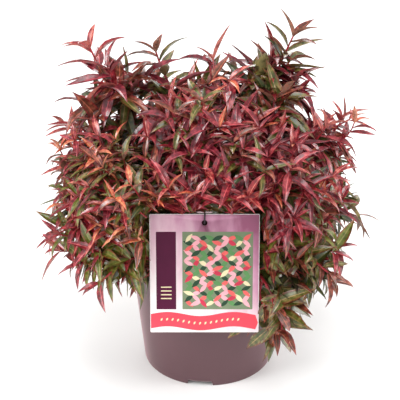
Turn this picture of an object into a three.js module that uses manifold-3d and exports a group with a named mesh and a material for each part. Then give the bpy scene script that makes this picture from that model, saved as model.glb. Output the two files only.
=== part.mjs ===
// A potted evergreen shrub with narrow pointed leaves, in its nursery pot, with a hang tag.
// Millimetres, +Z up. The origin is the middle of the pot's underside, on the surface it stands on.
// +X is to the right and -Y is to the front, where the tag hangs.
import * as THREE from "three";
import { mergeVertices } from "three/addons/utils/BufferGeometryUtils.js";
import Module from "manifold-3d";

const wasm = await Module();
wasm.setup();

const { cos, sin, PI } = Math;
const GAP = 0.3; // between two pieces that touch
const UP = new THREE.Vector3(0, 0, 1);

// The pot, with the soil in it
const POT = {
  height: 145,
  footRadius: 78,
  rimRadius: 95,
  rimHeight: 12,
  wall: 1.6,
  lip: 2.2, // how far the rim stands out of the wall
  floor: 6,
  edge: 1.5, // the bevel round the foot
  sides: 36,
};
const NOTCH = { count: 3, firstTurn: 262.6, width: 35, height: 6, narrowing: 4, inward: 16 };
const SOIL = { top: 132, crown: 3 };

// The short stem that the boughs leave, and the boughs
const STEM = { flare: 22, foot: 15, top: 11.5, height: 54, lean: 3 };
const BOUGH = { foot: 3.2, tip: 2.3, shortest: 0.35, room: 4, sides: 5, steps: 3 };
const LEADER = { foot: 2.8, tip: 1.9, steps: 4 };

// Each ring's boughs leave the stem at one distance from its middle and one height above the soil, with one
// slope, and end with another. Each row gives the tip of one leading shoot as its turn from +X, its distance
// out and its height, and the turn at which it leaves the stem. Its seed sets how its twigs and leaves fall,
// and its more holds the tips of extra side shoots, written as [turn, out, height].
const RINGS = [
  {
    ring: "low",
    start: [3, 20],
    leaving: 0.35,
    ending: -0.35,
    rows: [
      {
        name: "low_front_right",
        seed: 7,
        turn: 322,
        out: 150,
        height: 174,
        from: 322,
        more: [
          [308, 112, 196],
          [320, 132, 158],
          [333, 153, 182],
          [334, 143, 140],
          [325, 137, 131],
        ],
      },
      { name: "low_right", seed: 12, turn: 8, out: 162, height: 180, from: 8 },
      { name: "low_back_right", seed: 3, turn: 56, out: 155, height: 178, from: 56 },
      { name: "low_back", seed: 9, turn: 100, out: 155, height: 180, from: 100 },
      { name: "low_back_left", seed: 8, turn: 142, out: 160, height: 178, from: 142 },
      {
        name: "low_left",
        seed: 2,
        turn: 188,
        out: 164,
        height: 180,
        from: 188,
        more: [
          [198, 148, 156],
          [201, 167, 190],
          [197, 168, 165],
        ],
      },
      {
        name: "low_front_left",
        seed: 2,
        turn: 224,
        out: 150,
        height: 168,
        from: 222,
        more: [
          [230, 112, 198],
          [226, 118, 162],
          [212, 142, 166],
          [217, 152, 196],
          [205, 160, 162],
        ],
      },
      {
        name: "low_front",
        seed: 6,
        turn: 262,
        out: 66,
        height: 250,
        from: 262,
        bough: 0.7,
        more: [
          [240, 86, 240],
          [266, 88, 244],
          [286, 86, 240],
        ],
      },
    ],
  },
  {
    ring: "hanging",
    start: [3, 22],
    leaving: 0.6,
    ending: -2.2,
    rows: [
      {
        name: "hanging_right",
        seed: 0,
        turn: 306,
        out: 134,
        height: 116,
        from: 296,
        more: [
          [300, 120, 126],
          [304, 126, 99],
        ],
      },
    ],
  },
  {
    ring: "middle",
    start: [3, 36],
    leaving: 0.9,
    ending: 0.55,
    rows: [
      {
        name: "middle_front",
        seed: 1,
        turn: 272,
        out: 124,
        height: 296,
        from: 288,
        more: [
          [254, 116, 270],
          [290, 120, 268],
          [272, 128, 264],
          [259, 98, 320],
          [286, 100, 324],
        ],
      },
      {
        name: "middle_front_right",
        seed: 8,
        turn: 322,
        out: 150,
        height: 275,
        from: 321,
        more: [
          [336, 150, 227],
          [322, 81, 320],
        ],
      },
      {
        name: "middle_right",
        seed: 5,
        turn: 6,
        out: 146,
        height: 292,
        from: 13,
        more: [
          [0, 144, 296],
          [353, 157, 298],
          [342, 127, 303],
        ],
      },
      { name: "middle_back_right", seed: 11, turn: 62, out: 150, height: 280, from: 64 },
      { name: "middle_back_left", seed: 1, turn: 116, out: 152, height: 280, from: 116 },
      {
        name: "middle_left",
        seed: 8,
        turn: 170,
        out: 154,
        height: 280,
        from: 167,
        more: [
          [180, 142, 294],
          [187, 163, 268],
          [194, 169, 245],
        ],
      },
      {
        name: "middle_front_left",
        seed: 4,
        turn: 219,
        out: 150,
        height: 264,
        from: 219,
        more: [
          [203, 152, 300],
          [213, 138, 293],
          [237, 129, 252],
        ],
      },
    ],
  },
  {
    ring: "top",
    start: [6.5, 46],
    leaving: 1.8,
    ending: 2.2,
    rows: [
      {
        name: "top_right",
        seed: 5,
        turn: 16,
        out: 90,
        height: 380,
        from: 10,
        more: [
          [17, 69, 364],
          [12, 49, 345],
          [3, 94, 345],
          [322, 81, 317],
          [336, 84, 340],
        ],
      },
      { name: "top_back", seed: 7, turn: 70, out: 84, height: 312, from: 74 },
      { name: "top_back_left", seed: 12, turn: 128, out: 92, height: 308, from: 132 },
      {
        name: "top_left",
        seed: 1,
        turn: 171,
        out: 127,
        height: 368,
        from: 186,
        more: [
          [183, 108, 364],
          [186, 98, 342],
          [184, 133, 320],
          [162, 81, 336],
        ],
      },
      {
        name: "top_middle",
        seed: 10,
        turn: 151,
        out: 62,
        height: 360,
        from: 316,
        more: [
          [70, 16, 362],
          [20, 30, 346],
          [207, 44, 330],
          [205, 23, 324],
        ],
      },
      {
        name: "inner_front",
        seed: 10,
        turn: 268,
        out: 66,
        height: 338,
        from: 262,
        more: [
          [238, 66, 326],
          [305, 62, 326],
          [264, 78, 352],
          [300, 40, 360],
        ],
      },
    ],
  },
];

// The dome that the side shoots reach to
const DOME = {
  x: -6,
  height: 212,
  out: 160,
  up: 112,
  down: 80,
  lean: 0.35, // lower towards the back by this share of the way
  highest: 0.985,
  lowest: -0.45,
  shoots: 76,
  inner: 4, // each fourth one stays inside
  within: 0.6, // of the dome's size
};
const SHOOT = { foot: 1.7, tip: 1.3, sides: 3, steps: 2, tries: 6 };
const LEAF = {
  longest: 70,
  shortest: 52,
  width: 0.31, // of its length
  keel: 1.4, // how far its rib stands below its edges
  arch: 0.11, // of its length
  widest: 0.42, // of its length, from its root
  sunk: 0.3,
  onLeader: 9,
  onShoot: 5,
  first: 0.3, // of the way along a shoot
  tries: 6,
};
const GOLDEN = 137.508; // degrees from one leaf to the next

// The tag and its strap
const TAG = { width: 121, length: 136.5, thick: 0.8, lean: 12.8, x: -5, top: 226.5, hole: 3.2, holeDown: 10 };
const STRAP = { radius: 0.9, room: 1, slack: 2, bar: 15, sides: 4, steps: 30 };
const VIEW = { rise: 27, depth: 150, margin: 2 }; // the clear space in front of the tag

const radians = (degrees) => (degrees * PI) / 180;
const polar = (turn, out, height) =>
  new THREE.Vector3(out * cos(radians(turn)), out * sin(radians(turn)), height);
const mix = (a, b, share) => a + (b - a) * share;

// Seeded numbers from 0 to 1
function numbers(seed) {
  let state = seed >>> 0;
  return () => {
    state = (Math.imul(state, 1664525) + 1013904223) >>> 0;
    return state / 4294967296;
  };
}

// A closed three.js geometry as a solid for cutting and joining
function solidOf(geometry) {
  const bare = geometry.clone();
  bare.deleteAttribute("normal");
  bare.deleteAttribute("uv");
  const merged = mergeVertices(bare, 1e-4);
  return new wasm.Manifold(
    new wasm.Mesh({
      numProp: 3,
      vertProperties: merged.attributes.position.array,
      triVerts: new Uint32Array(merged.index.array),
    }),
  );
}

function geometryOf(solid) {
  const mesh = solid.getMesh();
  const geometry = new THREE.BufferGeometry();
  geometry.setAttribute("position", new THREE.BufferAttribute(mesh.vertProperties, 3));
  geometry.setIndex(new THREE.BufferAttribute(mesh.triVerts, 1));
  geometry.computeVertexNormals();
  return geometry;
}

// The largest body of a solid, without loose scraps and sealed hollows
function largestBody(solid) {
  const bodies = solid.decompose();
  return bodies.reduce((best, body) => (body.volume() > best.volume() ? body : best));
}

const turned = (profile, sides) =>
  new THREE.LatheGeometry(
    profile.map(([r, z]) => new THREE.Vector2(r, z)),
    sides,
  ).rotateX(PI / 2);

// The direction across the plane that a curve bends in
function acrossBend(curve, a, b) {
  const across = curve.getTangent(a).cross(curve.getTangent(b));
  if (across.length() > 0.05) return across.normalize();
  const other = Math.abs(curve.getTangent(a).z) < 0.8 ? UP : new THREE.Vector3(1, 0, 0);
  return curve.getTangent(a).cross(other).normalize();
}

// A closed cylinder bent along a curve from share a to share b of its way, with an even taper
function limbGeometry(curve, a, b, footRadius, tipRadius, sides, steps) {
  const geometry = new THREE.CylinderGeometry(1, 1, 1, sides, steps);
  const across = acrossBend(curve, a, b);
  const position = geometry.attributes.position;
  for (let i = 0; i < position.count; i++) {
    const share = position.getY(i) + 0.5;
    const at = mix(a, b, share);
    const along = curve.getTangent(at);
    const side = across.clone().projectOnPlane(along).normalize();
    const over = side.clone().cross(along);
    const radius = mix(footRadius, tipRadius, share);
    const point = curve
      .getPoint(at)
      .addScaledVector(side, position.getX(i) * radius)
      .addScaledVector(over, position.getZ(i) * radius);
    position.setXYZ(i, point.x, point.y, point.z);
  }
  return geometry;
}

// A leaf of six faces from its root to its tip, arched over its middle, with its rib below its two edges
function leafGeometry(root, along, face, length) {
  const geometry = new THREE.SphereGeometry(1, 3, 2);
  const side = along.clone().cross(face).normalize();
  const over = side.clone().cross(along).normalize();
  const position = geometry.attributes.position;
  for (let i = 0; i < position.count; i++) {
    const [x, y, z] = [position.getX(i), position.getY(i), position.getZ(i)];
    const middle = 1 - Math.abs(y);
    const reach = middle * LEAF.widest + Math.max(y, 0);
    const lift = middle * LEAF.arch * length - Math.max(-x, 0) * LEAF.keel;
    const point = root
      .clone()
      .addScaledVector(along, reach * length)
      .addScaledVector(side, (-z * LEAF.width * length) / Math.sqrt(3))
      .addScaledVector(over, lift);
    position.setXYZ(i, point.x, point.y, point.z);
  }
  return geometry;
}

function potSolid() {
  const { height, footRadius, rimRadius, wall, lip, floor, edge } = POT;
  const rimWall = rimRadius - lip;
  const radiusAt = (z) => mix(footRadius, rimWall, z / height);
  const underRim = height - POT.rimHeight;
  const body = turned(
    [
      [0, 0],
      [footRadius - edge, 0],
      [footRadius, edge],
      [radiusAt(underRim), underRim],
      [radiusAt(underRim) + lip, underRim + 0.8],
      [rimRadius, height - 0.6],
      [rimRadius - 0.6, height],
      [rimRadius - 2 * lip, height],
      [radiusAt(underRim) - wall, underRim],
      [radiusAt(floor) - wall, floor],
      [0, floor],
    ],
    POT.sides,
  );
  const half = NOTCH.width / 2;
  const opening = new THREE.Shape([
    new THREE.Vector2(-half, -NOTCH.height),
    new THREE.Vector2(half, -NOTCH.height),
    new THREE.Vector2(half - NOTCH.narrowing, NOTCH.height),
    new THREE.Vector2(-half + NOTCH.narrowing, NOTCH.height),
  ]);
  const notches = [];
  for (let i = 0; i < NOTCH.count; i++)
    notches.push(
      solidOf(
        new THREE.ExtrudeGeometry(opening, { depth: 2 * NOTCH.inward, bevelEnabled: false })
          .rotateX(PI / 2)
          .rotateZ(PI / 2)
          .translate(footRadius - NOTCH.inward, 0, 0)
          .rotateZ(radians(NOTCH.firstTurn + (i * 360) / NOTCH.count)),
      ),
    );
  return solidOf(body).subtract(wasm.Manifold.union(notches));
}

function soilGeometry() {
  const { height, footRadius, rimRadius, wall, lip, floor } = POT;
  const inside = (z) => mix(footRadius, rimRadius - lip, z / height) - wall - GAP;
  return turned(
    [
      [0, floor + GAP],
      [inside(floor) - GAP, floor + GAP],
      [inside(SOIL.top - SOIL.crown), SOIL.top - SOIL.crown],
      [0.7 * inside(SOIL.top), SOIL.top],
      [0, SOIL.top],
    ],
    POT.sides,
  );
}

function stemGeometry() {
  const geometry = turned(
    [
      [0, 0],
      [STEM.flare, 0],
      [STEM.foot + 1.5, 6],
      [STEM.foot, 14],
      [STEM.top + 1, STEM.height - 5],
      [STEM.top - 3, STEM.height],
      [0, STEM.height],
    ],
    12,
  );
  const position = geometry.attributes.position;
  for (let i = 0; i < position.count; i++) {
    const share = position.getZ(i) / STEM.height;
    position.setX(i, position.getX(i) + STEM.lean * share * share);
  }
  return geometry.translate(0, 0, SOIL.top + GAP);
}

// The line of one bough and its leading shoot, from inside the stem to the shoot's tip
function limbCurve(row, { start, leaving, ending }) {
  const foot = polar(row.from, start[0], SOIL.top + start[1]);
  const tip = polar(row.turn, row.out, row.height);
  const reach = foot.distanceTo(tip);
  return new THREE.CubicBezierCurve3(
    foot,
    foot.clone().addScaledVector(polar(row.from, 1, leaving).normalize(), 0.38 * reach),
    tip.clone().addScaledVector(polar(row.turn, 1, ending).normalize(), -0.36 * reach),
    tip,
  );
}

// The tip of a numbered side shoot, on the dome or inside it
function domeTip(index) {
  const draw = numbers(977 * index + 31);
  const level = mix(DOME.highest, DOME.lowest, (index + 0.5) / DOME.shoots);
  const turn = index * GOLDEN + 14 * (draw() - 0.5);
  const size = index % DOME.inner === 0 ? DOME.within : mix(0.86, 1.04, draw());
  const flat = (1 - level * level) ** (level > 0 ? 0.5 : 0.35) * DOME.out * size;
  const height = DOME.height + level * (level > 0 ? DOME.up : DOME.down) * size;
  const tip = polar(turn, flat, height);
  return tip.add(new THREE.Vector3(DOME.x, 0, -DOME.lean * tip.y));
}

// The point of a twig's middle line at a share of its curve: between the steps that line is straight
function pointOn({ curve, start, steps }, at) {
  const step = ((at - start) / (1 - start)) * steps;
  const before = Math.min(Math.floor(step), steps - 1);
  const node = (i) => curve.getPoint(mix(start, 1, i / steps));
  return node(before).lerp(node(before + 1), step - before);
}

// The line of a side shoot from its mass's leading shoot, which ends the more upright the higher its tip is
function shootCurve(leader, at, tip) {
  const foot = pointOn(leader, at);
  const reach = foot.distanceTo(tip);
  const outward = new THREE.Vector3(tip.x, tip.y, 0).normalize();
  const straight = tip.clone().sub(foot).normalize();
  const leaving = leader.curve.getTangent(at).multiplyScalar(0.7).add(straight).normalize();
  const slope = mix(-0.5, 2.3, (tip.z - 130) / 230);
  const ending = outward.addScaledVector(UP, slope).normalize();
  return new THREE.CubicBezierCurve3(
    foot,
    foot.clone().addScaledVector(leaving, 0.25 * reach),
    tip.clone().addScaledVector(ending, -0.3 * reach),
    tip,
  );
}

// The space of each mass: the points that are nearer to its middle than to any other's
class Space {
  constructor(middle) {
    this.middle = middle;
    this.walls = [];
  }
  divideFrom(other) {
    const halfway = this.middle.clone().add(other.middle).multiplyScalar(0.5);
    const away = other.middle.clone().sub(this.middle).normalize();
    this.walls.push({ away, limit: halfway.dot(away) - GAP });
  }
  has(point, margin = 0) {
    return this.walls.every((wall) => point.dot(wall.away) < wall.limit - margin);
  }
  holds(geometry) {
    const position = geometry.attributes.position;
    const point = new THREE.Vector3();
    for (let i = 0; i < position.count; i++)
      if (!this.has(point.fromBufferAttribute(position, i))) return false;
    return true;
  }
}

// The tag lies in this frame: x across it, y up its face, z out of its front
const tagFrame = new THREE.Matrix4().makeTranslation(TAG.x, -POT.rimRadius - 1.5 * GAP, POT.height - 1);
tagFrame.multiply(new THREE.Matrix4().makeRotationX(PI / 2 - radians(TAG.lean)));
const tagTop = (TAG.top - POT.height + 1) / cos(radians(TAG.lean));

function tagGeometry() {
  const half = TAG.width / 2;
  const card = new THREE.Shape([
    new THREE.Vector2(-half, tagTop - TAG.length),
    new THREE.Vector2(half, tagTop - TAG.length),
    new THREE.Vector2(half, tagTop),
    new THREE.Vector2(-half, tagTop),
  ]);
  const hole = new THREE.Path().absarc(0, tagTop - TAG.holeDown, TAG.hole, 0, 2 * PI, true);
  card.holes.push(hole);
  return new THREE.ExtrudeGeometry(card, {
    depth: TAG.thick,
    bevelEnabled: false,
    curveSegments: 8,
  }).applyMatrix4(tagFrame);
}

// The space that the tag is seen through, as one closed block
function clearViewGeometry() {
  const half = TAG.width / 2 + VIEW.margin;
  const block = new THREE.BoxGeometry(2 * half, TAG.length + 2 * VIEW.margin, VIEW.depth);
  block.translate(0, tagTop - TAG.length / 2, VIEW.depth / 2 - 1.2);
  const position = block.attributes.position;
  const tilt = Math.tan(radians(VIEW.rise - TAG.lean));
  for (let i = 0; i < position.count; i++)
    position.setY(i, position.getY(i) + position.getZ(i) * tilt);
  return block.applyMatrix4(tagFrame);
}

// The strap is a closed loop: through the tag's hole, over its top edge and round the bough behind
function strapSolid(bough) {
  let at = 0;
  while (bough.getPoint(at).z < TAG.top - TAG.holeDown / 2) at += 0.001;
  const limb = bough.getPoint(at);
  const reach = BOUGH.foot + STRAP.radius + STRAP.slack;
  const onTag = (up, out) => new THREE.Vector3(0, up, out).applyMatrix4(tagFrame);
  const beside = (x, y) => new THREE.Vector3(limb.x + x * reach, limb.y + y * reach, limb.z);
  const front = TAG.thick + STRAP.radius + STRAP.room;
  const line = new THREE.CatmullRomCurve3(
    [
      onTag(tagTop - TAG.holeDown, -2.5),
      onTag(tagTop - TAG.holeDown, TAG.thick / 2),
      onTag(tagTop - TAG.holeDown / 2, front),
      onTag(tagTop + STRAP.radius + STRAP.room, TAG.thick / 2),
      beside(-1, -0.6),
      beside(-0.8, 0.7),
      beside(0.8, 0.7),
      beside(1, -0.6),
    ],
    true,
    "catmullrom",
    0.3,
  );
  const loop = new THREE.TubeGeometry(line, STRAP.steps, STRAP.radius, STRAP.sides, true);
  const bar = new THREE.BoxGeometry(STRAP.bar, 2 * STRAP.radius, 2 * STRAP.radius);
  bar.translate(0, tagTop + STRAP.room + STRAP.radius, TAG.thick / 2).applyMatrix4(tagFrame);
  return solidOf(loop).add(solidOf(bar));
}

// The colour and roughness of each kind of piece
const FINISHES = {
  pot: { color: 0x7d5f66, roughness: 0.55 },
  soil: { color: 0x3a2c22, roughness: 0.95 },
  bark: { color: 0x6d4034, roughness: 0.8 },
  low: { color: 0x5f6a2f, roughness: 0.45 },
  hanging: { color: 0x566326, roughness: 0.45 },
  middle: { color: 0x8a3a3c, roughness: 0.45 },
  top: { color: 0xb0483f, roughness: 0.45 },
  card: { color: 0xe6cdd4, roughness: 0.5 },
  strap: { color: 0x3a3436, roughness: 0.6 },
};

const plant = new THREE.Group();
function place(name, geometry, finish) {
  const material = new THREE.MeshStandardMaterial({ ...FINISHES[finish], metalness: 0 });
  const mesh = new THREE.Mesh(geometry, material);
  mesh.name = name;
  plant.add(mesh);
}

const stemSolid = solidOf(stemGeometry());
place("pot", geometryOf(potSolid()), "pot");
place("soil", soilGeometry(), "soil");
place("stem", geometryOf(stemSolid), "bark");
place("tag", tagGeometry(), "card");

// Each mass's curve is its bough until it enters the mass's space, and its leading shoot from there
const masses = RINGS.flatMap((ring) =>
  ring.rows.map((row) => {
    const curve = limbCurve(row, ring);
    const tips = (row.more ?? []).map((tip) => polar(...tip));
    const space = new Space(curve.getPoint(0.8));
    return { ...row, ring: ring.ring, curve, tips, space, twigs: [], leaves: [] };
  }),
);
for (const mass of masses) {
  for (const other of masses) if (other !== mass) mass.space.divideFrom(other.space);
  const shortest = mass.bough ?? BOUGH.shortest;
  mass.enter = 1;
  while (mass.enter > shortest && mass.space.has(mass.curve.getPoint(mass.enter), BOUGH.room))
    mass.enter -= 0.01;
}

function boughGeometry(mass, extra) {
  const { foot, tip, sides, steps } = BOUGH;
  return limbGeometry(mass.curve, 0, mass.enter, foot + extra, tip + extra, sides, steps);
}
const stemRoom = stemSolid.add(solidOf(stemGeometry().scale(1.03, 1.03, 1).translate(0, 0, GAP)));
for (const mass of masses) {
  const bough = solidOf(boughGeometry(mass, 0)).subtract(stemRoom);
  place("bough_" + mass.name, geometryOf(largestBody(bough)), "bark");
}

const strap = strapSolid(masses.find((mass) => mass.name === "low_front").curve);
place("tag_strap", geometryOf(strap), "strap");

// What the foliage keeps clear of
const potRoom = new THREE.CylinderGeometry(
  POT.rimRadius + 0.8,
  POT.footRadius + 0.8,
  POT.height + 0.8,
  POT.sides,
).rotateX(PI / 2);
const obstacles = [
  solidOf(potRoom.translate(0, 0, POT.height / 2)),
  solidOf(clearViewGeometry()),
  strap,
  stemRoom,
  ...masses.map((mass) => solidOf(boughGeometry(mass, 2 * GAP))),
];
const isClear = (solid) => obstacles.every((obstacle) => obstacle.intersect(solid).isEmpty());

// The dome's side shoots, each given to the mass in whose space its tip lies
for (let index = 0; index < DOME.shoots; index++) {
  const tip = domeTip(index);
  const nearest = masses.reduce((best, mass) =>
    mass.space.middle.distanceTo(tip) < best.space.middle.distanceTo(tip) ? mass : best,
  );
  nearest.tips.push(tip);
}

// The leaves of one shoot: alternate, turning round it, closer to its line and shorter towards its tip
function addLeaves(mass, twig, from, count, seed) {
  const draw = numbers(seed);
  const others = mass.twigs.filter((other) => other !== twig).map((other) => other.solid);
  let turn = 360 * draw();
  for (let i = 0; i < count; i++) {
    const share = i / (count - 1);
    const at = mix(from, 0.985, share);
    const length = mix(LEAF.longest, LEAF.shortest, share) * mix(0.9, 1.08, draw());
    const spread = mix(76, 34, share) + 12 * (draw() - 0.5);
    turn += GOLDEN;
    for (let attempt = 0; attempt < LEAF.tries; attempt++) {
      const smaller = length * (1 - 0.05 * attempt);
      const geometry = leafOn(twig, at, turn + attempt * 60, spread, smaller);
      if (!mass.space.holds(geometry)) continue;
      const solid = solidOf(geometry);
      if (!isClear(solid) || touches(solid, mass.leaves) || touches(solid, others)) continue;
      mass.leaves.push(solid);
      break;
    }
  }
}

const touches = (solid, others) => others.some((other) => !other.intersect(solid).isEmpty());

function leafOn(twig, at, turn, spread, length) {
  const axis = twig.curve.getTangent(at);
  const across = Math.abs(axis.z) < 0.9 ? UP : new THREE.Vector3(1, 0, 0);
  const side = axis.clone().cross(across).normalize().applyAxisAngle(axis, radians(turn));
  const along = axis
    .clone()
    .multiplyScalar(cos(radians(spread)))
    .addScaledVector(side, sin(radians(spread)))
    .addScaledVector(UP, -0.2)
    .normalize();
  const face = axis.clone().multiplyScalar(0.6).addScaledVector(UP, 0.8);
  const root = pointOn(twig, at).addScaledVector(along, -LEAF.sunk);
  return leafGeometry(root, along, face, length);
}

// The leading shoot and the side shoots of one mass
function addTwigs(mass, draw) {
  const { curve, enter, space } = mass;
  const start = enter + GAP / curve.getLength();
  const leader = { curve, start, steps: LEADER.steps };
  leader.solid = solidOf(limbGeometry(curve, start, 1, LEADER.foot, LEADER.tip, SHOOT.sides, LEADER.steps));
  mass.twigs.push(leader);
  for (const tip of mass.tips) {
    const first = draw();
    for (let attempt = 0; attempt < SHOOT.tries; attempt++) {
      const at = mix(enter + 0.06, 0.86, (first + 0.37 * attempt) % 1);
      const line = shootCurve(leader, at, tip.clone().lerp(curve.getPoint(at), 0.06 * attempt));
      const shoot = limbGeometry(line, 0, 1, SHOOT.foot, SHOOT.tip, SHOOT.sides, SHOOT.steps);
      const solid = solidOf(shoot);
      const earlier = mass.twigs.slice(1).map((twig) => twig.solid);
      if (!space.holds(shoot) || !isClear(solid) || touches(solid, earlier)) continue;
      mass.twigs.push({ curve: line, start: 0, steps: SHOOT.steps, solid });
      break;
    }
  }
}

// Each mass's twigs and leaves, joined in one body
masses.forEach((mass, order) => {
  addTwigs(mass, numbers(613 * order + 7 + 101 * mass.seed));
  mass.twigs.forEach((twig, i) => {
    const [from, count] = i === 0 ? [mass.enter + 0.06, LEAF.onLeader] : [LEAF.first, LEAF.onShoot];
    addLeaves(mass, twig, from, count, 4001 + 53 * order + 977 * i + 7919 * mass.seed);
  });
  const pieces = [...mass.twigs.map((twig) => twig.solid), ...mass.leaves];
  const foliage = largestBody(wasm.Manifold.union(pieces).simplify(0.03));
  place("foliage_" + mass.name, geometryOf(foliage), mass.ring);
});

export default plant;
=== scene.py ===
# The looks of a potted evergreen shrub with narrow pointed leaves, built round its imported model.
# Sizes are in millimetres in the model's frame, +Z up and -Y to the front, and meshes are made in metres.
from math import cos, log, pi, radians, sin, tan

import bpy
import numpy as np
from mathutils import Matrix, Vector, noise


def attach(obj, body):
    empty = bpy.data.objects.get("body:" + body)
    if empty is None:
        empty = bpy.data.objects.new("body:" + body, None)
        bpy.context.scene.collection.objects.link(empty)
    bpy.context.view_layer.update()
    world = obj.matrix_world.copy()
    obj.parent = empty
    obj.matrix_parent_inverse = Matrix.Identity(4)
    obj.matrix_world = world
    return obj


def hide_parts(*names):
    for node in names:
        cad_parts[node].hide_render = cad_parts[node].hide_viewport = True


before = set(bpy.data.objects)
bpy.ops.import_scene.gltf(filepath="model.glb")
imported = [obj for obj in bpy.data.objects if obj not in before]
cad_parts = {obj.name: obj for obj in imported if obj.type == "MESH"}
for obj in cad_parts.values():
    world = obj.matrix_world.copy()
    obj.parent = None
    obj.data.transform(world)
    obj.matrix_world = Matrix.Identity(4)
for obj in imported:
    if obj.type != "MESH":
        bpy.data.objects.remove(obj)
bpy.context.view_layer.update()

MM = 0.001
GAP = 0.3
UP = np.array((0.0, 0.0, 1.0))
GOLDEN = 137.508  # degrees from one leaf to the next

# The pot, with the compost in it
POT = {
    "height": 145,
    "foot": 78,
    "rim": 95,
    "rim_height": 12,
    "wall": 1.6,
    "lip": 2.2,
    "floor": 6,
    "edge": 0.5,
    "sides": 180,
}
NOTCH = {"count": 3, "first_turn": 262.6, "width": 35, "height": 6, "narrowing": 4, "inward": 16}
SOIL = {"top": 132, "crown": 3, "sides": 96, "crumbs": 420, "crumb": (0.8, 2.6), "sunk": 1.6}

# The short stem and the boughs: radii, and how their bark is made
STEM = {"flare": 22, "foot": 15, "top": 11.5, "height": 54, "lean": 3, "rings": 40, "sides": 48}
BOUGH = {"foot": 3.2, "tip": 2.3, "middle": 0.8, "room": 4, "ring_spacing": 3, "sides": 14}

# Shoots and twigs: radii, where their first leaf is, and on which part of their carrier's line they grow
LEADER = {"foot": 2.2, "tip": 1.0, "first": 0.1}
SHOOT = {"foot": 1.35, "tip": 0.8, "first": 0.28, "lowest": 0.06, "highest": 0.86, "step": 0.37, "tries": 6}
TWIG = {"foot": 0.95, "tip": 0.55, "first": 0.15, "lowest": 0.15, "spacing": 17, "tries": 5}
TWIG_REACH = {"lowest": 54, "highest": 30, "chance": (0.85, 1.15), "past": 12}
ONWARD = 17  # how far each shoot is carried on past its tip in the part's source

# The rings of masses: where a ring's boughs leave the stem, as the distance from its middle and the height
# above the soil, the slopes that they start and end with, their leaves' length, width as a share of it and
# spacing, how many times the usual twigs a shoot has, and how far along it the last one grows
RING_VALUES = ("start", "slopes", "length", "width", "spacing", "denser", "last_twig")
RINGS = {
    "low": ((3, 20), (0.35, -0.35), 52, 0.235, 8, 1, 0.8),
    "hanging": ((3, 22), (0.6, -2.2), 50, 0.29, 8, 1, 0.8),
    "middle": ((3, 36), (0.9, 0.55), 40, 0.225, 6.6, 1, 0.8),
    "top": ((6.5, 46), (1.8, 2.2), 52, 0.24, 5.8, 0.8, 0.9),
}

# The masses: ring, seed, the turn from +X at which the bough leaves the stem, and the tips of the leading
# shoot and of more side shoots than the dome gives, each as its turn, its distance out and its height
MASSES = {
    "low_front_right": (
        "low", 7, 322, (322, 150, 174), (308, 112, 196), (320, 132, 158), (333, 153, 182),
        (334, 143, 140), (325, 137, 131),
    ),
    "low_right": ("low", 12, 8, (8, 162, 180)),
    "low_back_right": ("low", 3, 56, (56, 155, 178)),
    "low_back": ("low", 9, 100, (100, 155, 180)),
    "low_back_left": ("low", 8, 142, (142, 160, 178)),
    "low_left": ("low", 2, 188, (188, 164, 180), (198, 148, 156), (201, 167, 190), (197, 168, 165)),
    "low_front_left": (
        "low", 2, 222, (224, 150, 168), (230, 112, 198), (226, 118, 162), (212, 142, 166),
        (217, 152, 196), (205, 160, 162),
    ),
    "low_front": ("low", 6, 262, (262, 66, 250), (240, 86, 240), (266, 88, 244), (286, 86, 240)),
    "hanging_right": ("hanging", 0, 296, (306, 134, 116), (300, 120, 126), (304, 126, 99)),
    "middle_front": (
        "middle", 1, 288, (272, 124, 296), (254, 116, 270), (290, 120, 268), (272, 128, 264),
        (259, 98, 320), (286, 100, 324),
    ),
    "middle_front_right": ("middle", 8, 321, (322, 150, 275), (336, 150, 227), (322, 81, 320)),
    "middle_right": ("middle", 5, 13, (6, 146, 292), (0, 144, 296), (353, 157, 298), (342, 127, 303)),
    "middle_back_right": ("middle", 11, 64, (62, 150, 280)),
    "middle_back_left": ("middle", 1, 116, (116, 152, 280)),
    "middle_left": ("middle", 8, 167, (170, 154, 280), (180, 142, 294), (187, 163, 268), (194, 169, 245)),
    "middle_front_left": (
        "middle", 4, 219, (219, 150, 264), (203, 152, 300), (213, 138, 293), (237, 129, 252),
    ),
    "top_right": (
        "top", 5, 10, (16, 90, 380), (17, 69, 364), (12, 49, 345), (3, 94, 345), (322, 81, 317),
        (336, 84, 340),
    ),
    "top_back": ("top", 7, 74, (70, 84, 312)),
    "top_back_left": ("top", 12, 132, (128, 92, 308)),
    "top_left": (
        "top", 1, 186, (171, 127, 368), (183, 108, 364), (186, 98, 342), (184, 133, 320), (162, 81, 336),
    ),
    "top_middle": (
        "top", 10, 316, (151, 62, 360), (70, 16, 362), (20, 30, 346), (207, 44, 330), (205, 23, 324),
    ),
    "inner_front": (
        "top", 10, 262, (268, 66, 338), (238, 66, 326), (305, 62, 326), (264, 78, 352), (300, 40, 360),
    ),
}

# What every mass has: the least share of its line that its bough keeps, how far out in the dome its twigs may
# end, what share of their length they keep, and the tint and youth of the old leaves along the bough
# The usual old leaves along a bough have the shade tint: partly real old leaves, partly painted shade inside
# the crown
USUAL = {"bare": 0.35, "outermost": 1.08, "shorter": 1, "old_tint": "shade", "old_youngest": 0.75}
OLD_FIRST = 0.4  # where the old leaves start on a bough

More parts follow.
